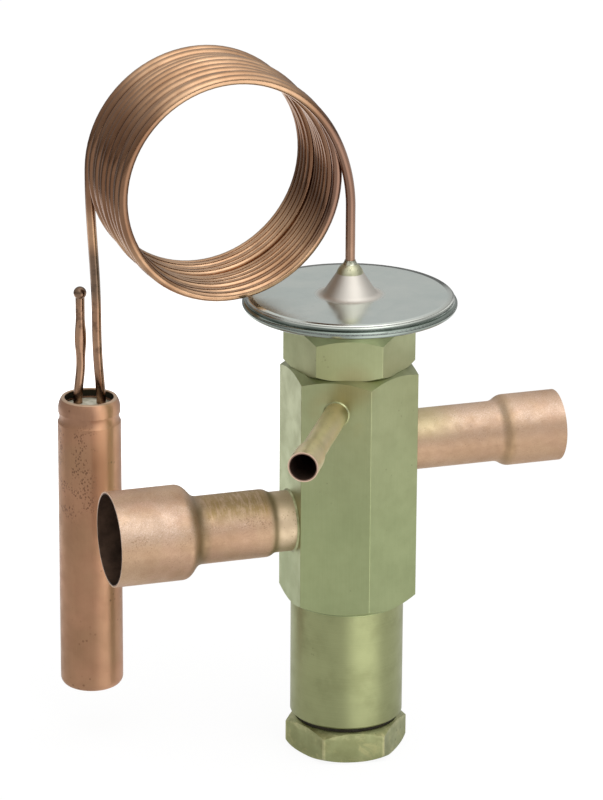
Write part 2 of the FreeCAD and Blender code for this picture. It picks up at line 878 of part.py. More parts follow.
def bulb_shell():
    outer = bulb_radius
    inner = outer - bulb_wall
    low = bulb_bottom
    floor = low + bulb_wall
    rim = bulb_rim
    bottom_round = bulb_bottom_round
    bottom_inset = bottom_round * quarter_share
    inner_round = bottom_round - bulb_wall
    inner_inset = inner_round * quarter_share
    groove = rim - bulb_groove_from_top
    half = bulb_groove_half_width
    depth = bulb_groove_depth
    lip = outer - bulb_lip_inset
    lip_low = rim - bulb_lip_height
    neck = outer - bulb_neck_inset
    inner_neck = neck - bulb_wall
    edges = [
        line((0, low), (outer - bottom_round, low)),
        arc((outer - bottom_round, low), (outer - bottom_inset, low + bottom_inset),
            (outer, low + bottom_round)),
        line((outer, low + bottom_round), (outer, groove - half)),
        arc((outer, groove - half), (outer - depth, groove), (neck, groove + half)),
        line((neck, groove + half), (neck, lip_low)),
        bowed((neck, lip_low), (lip, rim), bulb_lip_bow),
        line((lip, rim), (lip - bulb_wall, rim)),
        bowed((lip - bulb_wall, rim), (inner_neck, lip_low), -bulb_lip_bow),
        line((inner_neck, lip_low), (inner_neck, groove + half)),
        arc((inner_neck, groove + half), (inner - depth, groove), (inner, groove - half)),
        line((inner, groove - half), (inner, floor + inner_round)),
        arc((inner, floor + inner_round), (inner - inner_inset, floor + inner_inset),
            (inner - inner_round, floor)),
        line((inner - inner_round, floor), (0, floor)),
        line((0, floor), (0, low)),
    ]
    shell = turned(edges)
    shell.translate(point(bulb_x, bulb_y, 0))
    return shell


def bulb_plug():
    # Pressed in at the groove, with a low crown round the two tubes
    low = plug_top - plug_thickness
    waist = bulb_radius - bulb_wall - bulb_groove_depth - located_fit
    sag = plug_top - plug_sag
    crown = (plug_crown_radius, plug_top)
    edges = [
        line((0, low), (waist, low)),
        line((waist, low), (waist, sag)),
        bowed((waist, sag), crown, plug_bow),
        line(crown, (0, plug_top)),
        line((0, plug_top), (0, low)),
    ]
    plug = turned(edges)
    plug.translate(point(bulb_x, bulb_y, 0))
    hole_low = plug_top - plug_entry_depth
    lead_hole = rod(
        capillary_radius + located_fit, hole_low, bulb_rim,
        bulb_x + lead_entry_x, bulb_y + lead_entry_y)
    filler_hole = rod(
        filler_radius + located_fit, hole_low, bulb_rim,
        bulb_x + filler_entry_x, bulb_y + filler_entry_y)
    return plug.cut([lead_hole, filler_hole])


def oval(half_width, half_thick, x, y, z):
    curve = Part.Ellipse(origin, half_width, half_thick)
    wire = Part.Wire(curve.toShape())
    wire.translate(point(x, y, z))
    return wire


def filler_tube():
    # Cut off, pinched flat and closed with a ball of solder after filling
    x = bulb_x + filler_entry_x
    y = bulb_y + filler_entry_y
    low = plug_top - plug_entry_depth
    top = low + filler_height
    full = filler_radius
    wires = [oval(full, full, x, y, low)]
    for step in range(filler_sections + 1):
        free = (filler_height - plug_entry_depth) * step / filler_sections
        height = plug_entry_depth + free
        share = (height - filler_pinch_low) / (filler_pinch_high - filler_pinch_low)
        pinch = 0.5 - 0.5 * math.cos(2.0 * math.pi * min(1.0, max(0.0, share)))
        half_width = full + (filler_pinch_half_width - full) * pinch
        half_thick = full + (filler_pinch_half_thick - full) * pinch
        bent = min(1.0, free / (filler_pinch_low - plug_entry_depth))
        lean = filler_lean_x * (0.5 - 0.5 * math.cos(math.pi * bent))
        wires.append(oval(half_width, half_thick, x + lean, y, low + height))
    foot = Part.makeLoft(wires[:2], True, True)
    stem = Part.makeLoft(wires[1:], True, False)
    ball = Part.makeSphere(filler_ball_radius, point(x + filler_lean_x, y, top))
    return foot.fuse([stem, ball]).removeSplitter()


def build():
    os.makedirs("parts", exist_ok=True)
    save(valve_body(), "valve_body")
    save(inlet_stub(), "inlet_stub")
    save(outlet_stub(), "outlet_stub")
    save(equalizer_stub(), "equalizer_stub")
    save(braze_bead(tube_outer_radius, large_bead, inlet_z, 0.0), "inlet_braze")
    save(braze_bead(tube_outer_radius, large_bead, outlet_z, 180.0), "outlet_braze")
    equalizer_bead = braze_bead(
        equalizer_outer_radius, small_bead, equalizer_z, equalizer_direction_deg)
    save(equalizer_bead, "equalizer_braze")
    save(cap_nut(), "cap_nut")
    save(cap_washer(), "cap_washer")
    save(gland_nut(), "gland_nut")
    save(spindle_seal(), "spindle_seal")
    save(adjusting_spindle(), "adjusting_spindle")
    save(spring_adjuster(), "spring_adjuster")
    save(superheat_spring(), "superheat_spring")
    save(pin_carrier(), "pin_carrier")
    save(valve_pin(), "valve_pin")
    save(orifice_seat(), "orifice_seat")
    save(push_rod(), "push_rod")
    save(rod_seal(), "rod_seal")
    save(seal_retainer(), "seal_retainer")
    save(head_nut(), "head_nut")
    save(head_washer(), "head_washer")
    save(lower_shell(), "lower_shell")
    save(diaphragm(), "diaphragm")
    save(upper_shell(), "upper_shell")
    save(buffer_plate(), "buffer_plate")
    save(capillary_collar(), "capillary_collar")
    save(capillary_solder(), "capillary_solder")
    save(capillary_tube(), "capillary_tube")
    save(bulb_shell(), "bulb_shell")
    save(bulb_plug(), "bulb_plug")
    save(filler_tube(), "filler_tube")


build()
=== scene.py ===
import math
import bpy
from mathutils import Matrix, Vector


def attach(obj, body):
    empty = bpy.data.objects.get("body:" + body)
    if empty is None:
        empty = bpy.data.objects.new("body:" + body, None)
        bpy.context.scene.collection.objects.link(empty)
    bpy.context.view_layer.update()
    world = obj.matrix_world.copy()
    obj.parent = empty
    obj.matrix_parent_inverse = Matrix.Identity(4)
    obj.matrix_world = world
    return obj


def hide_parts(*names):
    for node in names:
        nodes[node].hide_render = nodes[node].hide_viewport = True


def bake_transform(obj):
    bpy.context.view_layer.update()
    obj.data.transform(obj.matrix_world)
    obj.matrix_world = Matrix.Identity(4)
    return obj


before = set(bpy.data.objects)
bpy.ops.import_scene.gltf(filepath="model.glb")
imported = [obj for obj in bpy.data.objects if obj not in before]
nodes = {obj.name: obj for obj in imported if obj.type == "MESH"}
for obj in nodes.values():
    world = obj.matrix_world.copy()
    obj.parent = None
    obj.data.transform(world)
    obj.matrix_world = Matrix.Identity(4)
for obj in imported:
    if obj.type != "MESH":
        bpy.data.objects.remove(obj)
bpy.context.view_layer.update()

MM = 0.001

# The sensing tube follows the same route as its CAD solid, in millimetres. Steps are for one turn
TUBE_RADIUS = 1.19
TUBE_SIDES = 20
TUBE_STEPS = 84
SHELL_TOP = 118.4
CONE_TOP = 123.9
SOLDER_TOP = 127.1
COLLAR_DIP = 0.5
RISER_HEIGHT = 13.4
RING_RADIUS = 27.3
RING_PITCH = 2.48
RING_TURNS = 10.0
RING_START = 62.0
RING_END = 180.0
RING_CENTRE = Vector((-30.5, -2.4, SHELL_TOP + 29.65))
RING_YAW = math.radians(3.4)
RING_DIP = math.radians(2.6)
RISER_BEND = 10.5
RING_BEND = 14.0
DROP_BEND = 13.0
DROP_POINT = Vector((-56.0, 28.5, 108.0))
DROP_REACH_UP = 14.0
DROP_REACH_DOWN = 13.0
BULB_BEND = 5.5
LEAD_ENTRY = Vector((-54.6, 30.2, 85.8))
LEAD_DEPTH = 3.5
# Hand winding: how far each turn stands out (turns from the start, millimetres)
SWELL = (
    (0.0, 0.0), (1.3, 0.35), (2.0, -0.55), (3.2, -0.25), (4.2, -0.1), (5.9, 0.45),
    (6.7, -0.4), (7.3, 0.1), (8.0, -0.5), (9.2, -0.1), (10.4, 0.0))
# and where the turns part a little (turns from the start, share of the free play)
PARTED = ((1.8, 0.4), (6.5, 0.3), (7.8, 0.3))
FREE_PLAY = 0.9

# The superheat spring, in millimetres, and the height where its two lengths meet
SPRING_LOW = 29.5
SPRING_HIGH = 44.0
SPRING_SPLIT = 39.65
SPRING_WIRE = 0.9
SPRING_RADIUS = 6.05
SPRING_PITCH = 3.175
SPRING_SIDES = 16
SPRING_STEPS = 36

# Places that the materials use, in metres: axes and heights of the pieces
BULB_X = -0.0577
BULB_Y = 0.0301
HEX_START = 0.0396
BODY_TOP = 0.1008
INLET_Z = 0.0792
OUTLET_Z = 0.0613
EQUALIZER_Z = 0.0925
EQUALIZER_WAY = Vector((-0.5, -0.8660254, 0.0))
EQUALIZER_FOOT = EQUALIZER_WAY * 0.015 + Vector((0.0, 0.0, EQUALIZER_Z))
BODY_CORNER = Vector((-0.0040, -0.0155, BODY_TOP - 0.0008))
SOLDER_BALL = Vector((BULB_X - 0.0016, BULB_Y + 0.0018, 0.1178))
CAP_TURN = 50.56
THREAD_PITCH = 0.0015
# and stretches, each from its first to its last place
BODY_PAINTED_SHEEN = (0.055, 0.095)
CAP_CORNER = (0.0136, 0.0148)
CAP_CHAMFER = (0.0064, 0.0079)
BOSS_FOOT = (0.0082, 0.0085)
BOSS_SKIN = (0.0102, 0.0103)
OUTLET_MIDDLE = (-0.0385, -0.0215)
OUTLET_NECK = (-0.0228, -0.0196)
OUTLET_SWAGE = (-0.0440, -0.0382)
OUTLET_SHOULDER = (-0.0225, -0.0193)
INLET_CREASE_SHADE = (0.0382, 0.0408)
INLET_SWAGE = (0.0366, 0.0411)
INLET_STRAW = (0.030, 0.018)
EQUALIZER_ROOT = (0.0165, 0.0215)
EQUALIZER_BELL = (0.0385, 0.0488)
EQUALIZER_LIP = (0.05275, 0.05285)
WINDING_SHADED_SIDES = (0.0125, 0.0245)
WINDING_RISE = (0.130, 0.141)
DROP_SIDE = (-0.050, -0.052)
DROP_HEIGHT = (0.136, 0.118)
DROP_PATCH = (0.1135, 0.1270)
BULB_PITS = (0.058, 0.0815)
BULB_LIP = (0.0815, 0.0832)
BULB_PLUG = (0.0780, 0.0781)
BULB_TURN = (0.0868, 0.0876)
BULB_EDGE = (0.08745, 0.0876)
CONE_SKIRT = (0.0090, 0.0072)
CONE_HEIGHT = (0.1180, 0.1184)
RIM_ROUND = (0.0237, 0.0257)
RIM_BAND = (0.0236, 0.0249)
RIM_SEAM = (0.11672, 0.11790)
# Outlet creases, with painted shade: place, half width and share of the darker tone
OUTLET_CREASE_SHADES = ((-0.0208, 0.0008, 0.7), (-0.0398, 0.0018, 0.55))


def level_way(azimuth):
    """The level direction at that angle from +X, in degrees."""
    angle = math.radians(azimuth)
    return Vector((math.cos(angle), math.sin(angle), 0.0))


# The key light: where it stands, its size in metres and its radiance
KEY_AZIMUTH = 286.0
KEY_ELEVATION = 52.0
KEY_DISTANCE = 1.3
KEY_WIDTH = 0.7
KEY_HEIGHT = 1.2
KEY_RADIANCE = 0.9
KEY_AIM = Vector((-0.01, 0.0, 0.09))
KEY_WAY = level_way(KEY_AZIMUTH)
BACK_WAY = level_way(112.0)
RIGHT_WAY = level_way(350.0)

# Levels of the table and of the room as the metal sees them
FLOOR_SIZE = 5.0
FLOOR_GAP = 0.0002
FLOOR_WHITE = 1.03
FLOOR_LEVEL = 0.91
FLOOR_DARKEST = 0.2
# What each patch of the table adds: its way, its width as cosines, its reach in metres, its strength
FLOOR_PATCHES = (
    (KEY_WAY, 0.78, 1.0, 0.01, 0.06, 1.3),
    (RIGHT_WAY, 0.6, 1.0, 0.10, 0.20, 0.28),
    (BACK_WAY, 0.6, 0.98, 0.08, 0.28, 0.9),
    (BACK_WAY, 0.3, 0.8, 0.34, 0.44, -1.5))
WORLD_FRONT = 0.75
WORLD_LOW = 0.55
WORLD_HIGH = 0.9
WORLD_SKIRTING = 0.25
WORLD_WAY = (KEY_WAY + Vector((0.0, 0.0, 2.0))).normalized()

# Camera, from a fit to the photograph
CAMERA_AZIMUTH = math.radians(-17.851)
CAMERA_ELEVATION = math.radians(19.304)
CAMERA_ROLL = math.radians(0.338)
CAMERA_PLACE = Vector((-0.32252, -0.96369, 0.44696))
FOCAL_PIXELS = 4397.18
FRAME_HEIGHT = 800.0
SENSOR_HEIGHT = 24.0


def linear(value):
    """A screen level of 0 to 255 as linear light."""
    value = value / 255.0
    if value <= 0.04045:
        return value / 12.92
    return ((value + 0.055) / 1.055) ** 2.4


def paint(red, green, blue):
    """A colour from its three screen levels."""
    return (linear(red), linear(green), linear(blue), 1.0)


class Graph:
    """A material's nodes, built up by short calls."""

    def __init__(self, name):
        self.material = bpy.data.materials.new(name)
        self.material.use_nodes = True
        self.tree = self.material.node_tree
        self.tree.nodes.clear()
        self.out = self.add("ShaderNodeOutputMaterial")
        self.shader = self.add("ShaderNodeBsdfPrincipled")
        self.link(self.shader.outputs["BSDF"], self.out.inputs["Surface"])
        self.place = self.add("ShaderNodeTexCoord").outputs["Object"]
        split = self.add("ShaderNodeSeparateXYZ")
        self.link(self.place, split.inputs[0])
        self.x, self.y, self.z = split.outputs[0], split.outputs[1], split.outputs[2]

    def add(self, kind):
        return self.tree.nodes.new(kind)

    def link(self, source, target):
        self.tree.links.new(source, target)

    def feed(self, socket, value):
        """Links the socket to another one, or sets its value."""
        if isinstance(value, bpy.types.NodeSocket):
            self.link(value, socket)
        else:
            socket.default_value = value

    def math(self, operation, first, second=0.0, third=None):
        node = self.add("ShaderNodeMath")
        node.operation = operation
        self.feed(node.inputs[0], first)
        self.feed(node.inputs[1], second)
        if third is not None:
            self.feed(node.inputs[2], third)
        return node.outputs[0]

    def ramp(self, value, low, high, start=0.0, end=1.0, kind="SMOOTHSTEP"):
        """The value eased from start to end as it goes from low to high."""
        node = self.add("ShaderNodeMapRange")
        node.interpolation_type = kind
        self.feed(node.inputs["Value"], value)
        node.inputs["From Min"].default_value = low
        node.inputs["From Max"].default_value = high
        node.inputs["To Min"].default_value = start
        node.inputs["To Max"].default_value = end
        return node.outputs[0]

    def stretch(self, scale):
        """The place with each of its three ways multiplied."""
        node = self.add("ShaderNodeMapping")
        self.link(self.place, node.inputs["Vector"])
        node.inputs["Scale"].default_value = scale
        return node.outputs[0]

    def noise(self, scale, detail=3.0, roughness=0.55, distortion=0.0, vector=None):
        node = self.add("ShaderNodeTexNoise")
        self.link(vector or self.place, node.inputs["Vector"])
        node.inputs["Scale"].default_value = scale
        node.inputs["Detail"].default_value = detail
        node.inputs["Roughness"].default_value = roughness
        node.inputs["Distortion"].default_value = distortion
        return node.outputs["Fac"]

    def cells(self, scale, vector=None):
        """The distance from the nearest of many scattered points."""
        node = self.add("ShaderNodeTexVoronoi")
        self.link(vector or self.place, node.inputs["Vector"])
        node.inputs["Scale"].default_value = scale
        return node.outputs["Distance"]

    def blend(self, factor, first, second):
        """The first colour turning into the second as the factor goes from 0 to 1."""
        node = self.add("ShaderNodeMix")
        node.data_type = "RGBA"
        self.feed(node.inputs[0], factor)
        self.feed(node.inputs[6], first)
        self.feed(node.inputs[7], second)
        return node.outputs[2]

    def bump(self, height, distance, strength=1.0, under=None):
        node = self.add("ShaderNodeBump")
        node.inputs["Strength"].default_value = strength
        node.inputs["Distance"].default_value = distance
        self.link(height, node.inputs["Height"])
        if under is not None:
            self.link(under, node.inputs["Normal"])
        return node.outputs[0]

    def times(self, *factors):
        """The product of masks or numbers."""
        product = factors[0]
        for factor in factors[1:]:
            product = self.math("MULTIPLY", product, factor)
        return product

    def tint(self, colour, mask, share, other):
        """The colour, with a share of the other one where the mask is full."""
        return self.blend(self.times(mask, share), colour, other)

    def cloud(self, scale, detail, roughness, low, high, start=0.0, end=1.0):
        """Noise with its contrast raised, as a patchy mask."""
        return self.ramp(self.noise(scale, detail, roughness), low, high, start, end)

    def lines(self, across, along, detail=2.0):
        """Noise drawn out into fine lines, round the Z axis or along it."""
        return self.noise(1.0, detail, 0.6, 0.0, self.stretch((across, across, along)))

    def between(self, value, low, high, soft):
        """A mask that is full from low to high, with soft edges."""
        rise = self.ramp(value, low - soft, low + soft)
        fall = self.ramp(value, high - soft, high + soft, 1.0, 0.0)
        return self.times(rise, fall)

    def near(self, point, inner, outer):
        """A mask that is full within the inner distance of a point."""
        return self.ramp(self.distance_to(point), inner, outer, 1.0, 0.0)

    def distance_to(self, point):
        node = self.add("ShaderNodeVectorMath")
        node.operation = "DISTANCE"
        self.link(self.place, node.inputs[0])
        node.inputs[1].default_value = point
        return node.outputs["Value"]

    def radius_from(self, first, second, first_at=0.0, second_at=0.0):
        """The distance from an axis, given the two ways across it."""
        one = self.math("SUBTRACT", first, first_at)
        two = self.math("SUBTRACT", second, second_at)
        return self.math("SQRT", self.math("ADD", self.times(one, one), self.times(two, two)))

    def toward(self, way):
        """How far the place lies that way from the origin."""
        node = self.add("ShaderNodeVectorMath")
        node.operation = "DOT_PRODUCT"
        self.link(self.place, node.inputs[0])
        node.inputs[1].default_value = way
        return node.outputs["Value"]

    def finish(self, colour, roughness, normal=None, metallic=1.0, anisotropic=0.0, axis=None):
        self.feed(self.shader.inputs["Base Color"], colour)
        self.feed(self.shader.inputs["Roughness"], roughness)
        self.shader.inputs["Metallic"].default_value = metallic
        if normal is not None:
            self.link(normal, self.shader.inputs["Normal"])
        if anisotropic:
            self.shader.inputs["Anisotropic"].default_value = anisotropic
            self.shader.inputs["Anisotropic Rotation"].default_value = 0.25
            tangent = self.add("ShaderNodeTangent")
            tangent.direction_type = "RADIAL"
            tangent.axis = axis
            self.link(tangent.outputs[0], self.shader.inputs["Tangent"])
        return self.material


def tone(g, dark, light, scale, low=0.3, high=0.7):
    """A colour that wanders softly between two tones."""
    return g.blend(g.cloud(scale, 4.0, 0.6, low, high), dark, light)


def specks(g, scale, size, share):
    """A mask of sparse spots: the share of cells that carry one rises with share."""
    spot = g.ramp(g.cells(scale), size * 0.6, size, 1.0, 0.0)
    patch = g.cloud(scale * 0.21, 2.0, 0.5, 1.0 - share - 0.04, 1.0 - share + 0.04)
    return g.times(spot, patch)


def brass_body():
    g = Graph("body_brass")
    colour = tone(g, paint(154, 164, 120), paint(164, 173, 128), 38.0, 0.25, 0.75)
    # Painted highlight: the upper part of the body is paler
    colour = g.tint(colour, g.ramp(g.z, *BODY_PAINTED_SHEEN), 0.6, paint(166, 168, 130))
    colour = g.blend(g.cloud(420.0, 3.0, 0.6, 0.35, 0.75, 0.0, 0.12), colour, paint(132, 138, 96))
    # The turned skirt is a little browner than the milled flats
    skirt = g.ramp(g.z, HEX_START - 0.0003, HEX_START, 1.0, 0.0)
    colour = g.tint(colour, skirt, 0.75, paint(150, 152, 110))
    stained = g.times(skirt, g.cloud(90.0, 4.0, 0.65, 0.5, 0.68))
    colour = g.tint(colour, stained, 0.2, paint(126, 128, 86))
    # Heat of brazing leaves a straw tint near the small stub's foot, and the top chamfer corner is
    # darker and browner
    straw = g.times(g.near(EQUALIZER_FOOT, 0.0042, 0.0085), g.cloud(140.0, 2.0, 0.5, 0.4, 0.62))
    colour = g.tint(colour, straw, 0.35, paint(168, 152, 104))
    colour = g.tint(colour, g.near(BODY_CORNER, 0.002, 0.007), 0.4, paint(152, 134, 88))
    colour = g.tint(colour, specks(g, 620.0, 0.18, 0.36), 0.25, paint(84, 84, 56))
    # Fine lines: round the skirt from turning, along the flats from drawing
    mix = g.add("ShaderNodeMix")
    g.link(skirt, mix.inputs[0])
    g.link(g.lines(5200.0, 90.0), mix.inputs[2])
    g.link(g.lines(60.0, 9000.0), mix.inputs[3])
    fine = mix.outputs[0]
    colour = g.blend(g.ramp(fine, 0.35, 0.7, 0.0, 0.10), colour, paint(190, 194, 150))
    rough = g.cloud(180.0, 4.0, 0.6, 0.3, 0.7, 0.36, 0.46)
    rough = g.math("ADD", rough, g.times(fine, 0.05))
    normal = g.bump(fine, 0.000012, 0.5)
    normal = g.bump(g.noise(700.0, 3.0, 0.6), 0.00003, 0.25, normal)
    return g.finish(colour, rough, normal, 1.0, 0.6, "Z")


def brass_cap():
    g = Graph("cap_brass")
    colour = tone(g, paint(148, 151, 106), paint(168, 172, 126), 120.0)
    worn = g.ramp(g.noise(260.0, 5.0, 0.7, 0.6), 0.5, 0.68)
    colour = g.tint(colour, worn, 0.5, paint(196, 190, 138))
    colour = g.tint(colour, g.cloud(150.0, 4.0, 0.6, 0.52, 0.7), 0.3, paint(116, 112, 70))
    # Spanner wear along the six corners and round the top chamfer
    radius = g.radius_from(g.x, g.y)
    turn = g.math("ARCTAN2", g.y, g.x)
    around = g.math("SUBTRACT", turn, math.radians(CAP_TURN))
    corner = g.ramp(g.math("COSINE", g.times(around, 6.0)), 0.975, 0.998)
    corner = g.times(corner, g.ramp(radius, *CAP_CORNER))
    chamfer = g.times(g.between(g.z, *CAP_CHAMFER, 0.0004), g.cloud(330.0, 4.0, 0.7, 0.42, 0.6))
    wear = g.math("MAXIMUM", corner, g.times(chamfer, 0.7))
    wear = g.times(wear, g.cloud(520.0, 3.0, 0.6, 0.3, 0.6, 0.3, 0.9))
    colour = g.tint(colour, wear, 0.75, paint(206, 202, 154))
    colour = g.tint(colour, specks(g, 520.0, 0.2, 0.4), 0.45, paint(70, 68, 44))
    # Thread on the boss, which shows when the cap is unscrewed
    boss = g.times(g.ramp(g.z, *BOSS_FOOT), g.ramp(radius, *BOSS_SKIN))
    screw = g.math("SUBTRACT", g.times(g.z, 2.0 * math.pi / THREAD_PITCH), turn)
    thread = g.times(g.math("SINE", screw), boss)
    normal = g.bump(g.lines(80.0, 7000.0), 0.000015, 0.5)
    normal = g.bump(g.noise(520.0, 3.0, 0.6), 0.00005, 0.35, normal)
    normal = g.bump(thread, 0.0004, 1.0, normal)
    rough = g.cloud(200.0, 4.0, 0.6, 0.3, 0.7, 0.36, 0.5)
    return g.finish(colour, rough, normal, 1.0, 0.6, "Z")


def brass_inner():
    g = Graph("inner_brass")
    colour = tone(g, paint(182, 152, 88), paint(204, 176, 110), 200.0)
    colour = g.tint(colour, specks(g, 900.0, 0.2, 0.35), 0.4, paint(110, 86, 46))
    rings = g.lines(90.0, 8000.0)
    return g.finish(colour, g.ramp(rings, 0.3, 0.7, 0.24, 0.38), g.bump(rings, 0.00002, 0.6))


def stub_copper(g, axis_z, rise, grain):
    """The stubs' copper: a painted highlight, pale, above the middle line, painted shade below it,
    fine grain.
    """
    colour = tone(g, paint(188, 154, 124), paint(212, 182, 151), 70.0)
    pink = g.ramp(g.noise(110.0, 3.0, 0.55, 0.4), 0.48, 0.66)
    colour = g.tint(colour, pink, 0.4, paint(216, 178, 158))
    # Painted highlight along the top of the stub
    highlight_band = g.between(g.z, axis_z + rise, axis_z + rise + 0.0085, 0.003)
    highlight_band = g.times(highlight_band, g.cloud(150.0, 3.0, 0.6, 0.3, 0.6, 0.3, 1.0))
    colour = g.tint(colour, highlight_band, 0.75, paint(214, 190, 170))
    # Painted shade below the middle line
    under = g.between(g.z, axis_z - 0.006, axis_z + rise, 0.003)
    colour = g.tint(colour, under, 0.5, paint(172, 142, 114))
    colour = g.blend(g.cloud(3400.0, 3.0, 0.7, 0.35, 0.7, 0.0, grain), colour, paint(166, 130, 104))
    # Painted glints within the highlight
    painted_glints = g.times(highlight_band, g.cloud(4200.0, 2.0, 0.6, 0.56, 0.68))
    return g.tint(colour, painted_glints, 0.5, paint(240, 222, 210))


def stub_specks(g, colour):
    return g.tint(colour, specks(g, 1500.0, 0.24, 0.4), 0.35, paint(104, 80, 58))


def stub_finish(g, colour, bore, bore_shade, dull):
    """Painted shade in the bore, in a dark copper colour, and the skin that the stubs share."""
    colour = g.blend(bore, colour, bore_shade)
    normal = g.bump(g.noise(2600.0, 3.0, 0.65), 0.00004, 0.45)
    normal = g.bump(g.noise(300.0, 3.0, 0.5), 0.00008, 0.25, normal)
    rough = g.cloud(420.0, 4.0, 0.65, 0.3, 0.7, dull, dull + 0.14)
    return g.finish(colour, rough, normal, 0.9)


def outlet_copper():
    g = Graph("outlet_copper")
    colour = stub_copper(g, OUTLET_Z, 0.0025, 0.4)
    # Flux stain on the top of the middle stretch
    top = g.ramp(g.z, OUTLET_Z + 0.0028, OUTLET_Z + 0.0062)
    streak = g.noise(1.0, 3.0, 0.65, 0.0, g.stretch((1500.0, 300.0, 300.0)))
    stain = g.times(g.between(g.x, *OUTLET_MIDDLE, 0.0016), top, g.ramp(streak, 0.36, 0.58, 0.5, 1.0))
    colour = g.tint(colour, stain, 0.8, paint(154, 130, 80))
    colour = g.tint(colour, g.ramp(g.x, *OUTLET_NECK), 0.75, paint(206, 188, 158))
    # Painted shade in the creases
    for place, width, share in OUTLET_CREASE_SHADES:
        crease_shade = g.between(g.x, place - width, place + width, 0.0014)
        colour = g.tint(colour, crease_shade, share, paint(124, 106, 70))
    dots = g.ramp(g.cells(2100.0, g.stretch((0.8, 1.0, 1.0))), 0.24, 0.42, 1.0, 0.0)
    dots = g.times(dots, g.cloud(330.0, 3.0, 0.6, 0.5, 0.6))
    dots = g.times(dots, g.between(g.z, OUTLET_Z + 0.0005, OUTLET_Z + 0.006, 0.002))
    colour = g.tint(colour, dots, 0.45, paint(132, 102, 68))
    colour = stub_specks(g, colour)
    skin = g.ramp(g.x, *OUTLET_SWAGE, 0.01142, 0.00790)
    skin = g.math("SUBTRACT", skin, g.ramp(g.x, *OUTLET_SHOULDER, 0.0, 0.00085))
    bore = g.math("LESS_THAN", g.radius_from(g.y, g.z, 0.0, OUTLET_Z), skin)
    # Painted shade for the bore, in a dark copper colour
    bore_shade = tone(g, paint(76, 60, 50), paint(116, 92, 76), 160.0)
    return stub_finish(g, colour, bore, bore_shade, 0.46)


def inlet_copper():
    g = Graph("inlet_copper")
    colour = stub_copper(g, INLET_Z, 0.0005, 0.4)
    # Painted shade across the middle of the inlet, below its highlight
    low = g.between(g.z, INLET_Z - 0.0025, INLET_Z + 0.0045, 0.0015)
    colour = g.tint(colour, low, 0.6, paint(162, 132, 106))
    straw = g.times(g.ramp(g.x, *INLET_STRAW), g.ramp(g.z, INLET_Z + 0.0005, INLET_Z + 0.006))
    colour = g.tint(colour, straw, 0.6, paint(204, 192, 146))
    # Painted shade in the crease
    colour = g.tint(colour, g.between(g.x, *INLET_CREASE_SHADE, 0.001), 0.4, paint(150, 124, 86))
    colour = stub_specks(g, colour)
    skin = g.ramp(g.x, *INLET_SWAGE, 0.00700, 0.00835)
    bore = g.math("LESS_THAN", g.radius_from(g.y, g.z, 0.0, INLET_Z), skin)
    # Painted shade for the bore, in a dark copper colour
    bore_shade = tone(g, paint(76, 60, 50), paint(116, 92, 76), 160.0)
    return stub_finish(g, colour, bore, bore_shade, 0.46)


def equalizer_copper():
    g = Graph("equalizer_copper")
    colour = stub_copper(g, EQUALIZER_Z, 0.0005, 0.15)
    colour = g.blend(0.85, colour, paint(240, 226, 182))
    colour = g.tint(colour, g.cloud(240.0, 3.0, 0.6, 0.45, 0.65), 0.3, paint(206, 198, 150))
    colour = stub_specks(g, colour)
    # Its two sides are olive, partly from stain and partly from painted shade, most of all near the
    # foot, and its lip is bare
    reach = g.toward(EQUALIZER_WAY)
    side = g.math("SUBTRACT", g.times(g.x, -EQUALIZER_WAY.y), g.times(g.y, -EQUALIZER_WAY.x))
    edge = g.ramp(g.math("ABSOLUTE", g.math("ADD", side, 0.0002)), 0.0012, 0.0027)
    root = g.times(g.ramp(reach, *EQUALIZER_ROOT, 1.0, 0.25), 0.8)
    colour = g.tint(colour, edge, root, paint(136, 124, 80))
    colour = g.blend(g.ramp(reach, *EQUALIZER_LIP), colour, paint(220, 192, 168))
    skin = g.ramp(reach, *EQUALIZER_BELL, 0.00262, 0.00342)
    bore = g.math("LESS_THAN", g.radius_from(side, g.z, 0.0, EQUALIZER_Z), skin)
    # Painted shade for the bore, in a dark copper colour
    bore_shade = tone(g, paint(96, 80, 70), paint(140, 112, 98), 160.0)
    return stub_finish(g, colour, bore, bore_shade, 0.34)


def copper_tube():
    g = Graph("tube_copper")
    colour = tone(g, paint(164, 128, 98), paint(196, 160, 128), 70.0)
    colour = g.tint(colour, g.cloud(160.0, 3.0, 0.6, 0.5, 0.7), 0.25, paint(136, 102, 78))
    # Painted shade: the two sides of the winding are browner than its top and bottom
    side = g.math("ABSOLUTE", g.math("SUBTRACT", g.x, RING_CENTRE.x * MM))
    side = g.times(g.ramp(side, *WINDING_SHADED_SIDES), g.ramp(g.z, *WINDING_RISE))
    colour = g.tint(colour, side, 0.75, paint(98, 64, 46))
    # The drop to the bulb is browner still, with a dark patch, and so is the riser's bend
    drop = g.times(g.ramp(g.z, *DROP_HEIGHT), g.ramp(g.x, *DROP_SIDE))
    colour = g.tint(colour, drop, 0.6, paint(124, 94, 78))
    stain = g.times(drop, g.cloud(330.0, 4.0, 0.7, 0.5, 0.62))
    colour = g.tint(colour, stain, 0.5, paint(74, 54, 44))
    patch = g.times(g.ramp(g.x, *DROP_SIDE), g.between(g.z, *DROP_PATCH, 0.003))
    colour = g.tint(colour, patch, 0.65, paint(84, 74, 64))
    bend = g.times(g.ramp(g.x, -0.012, -0.003), g.ramp(g.y, 0.004, 0.001))
    colour = g.tint(colour, bend, 0.75, paint(130, 102, 88))
    colour = g.tint(colour, specks(g, 700.0, 0.16, 0.3), 0.35, paint(66, 42, 30))
    # The ball of solder on the filling tube is smoother
    ball = g.times(g.near(SOLDER_BALL, 0.0022, 0.0028), 0.6)
    rough = g.cloud(220.0, 3.0, 0.6, 0.3, 0.7, 0.17, 0.28)
    rough = g.times(rough, g.math("SUBTRACT", 1.0, ball))
    return g.finish(colour, rough, g.bump(g.noise(900.0, 2.0, 0.5), 0.00001, 0.3))


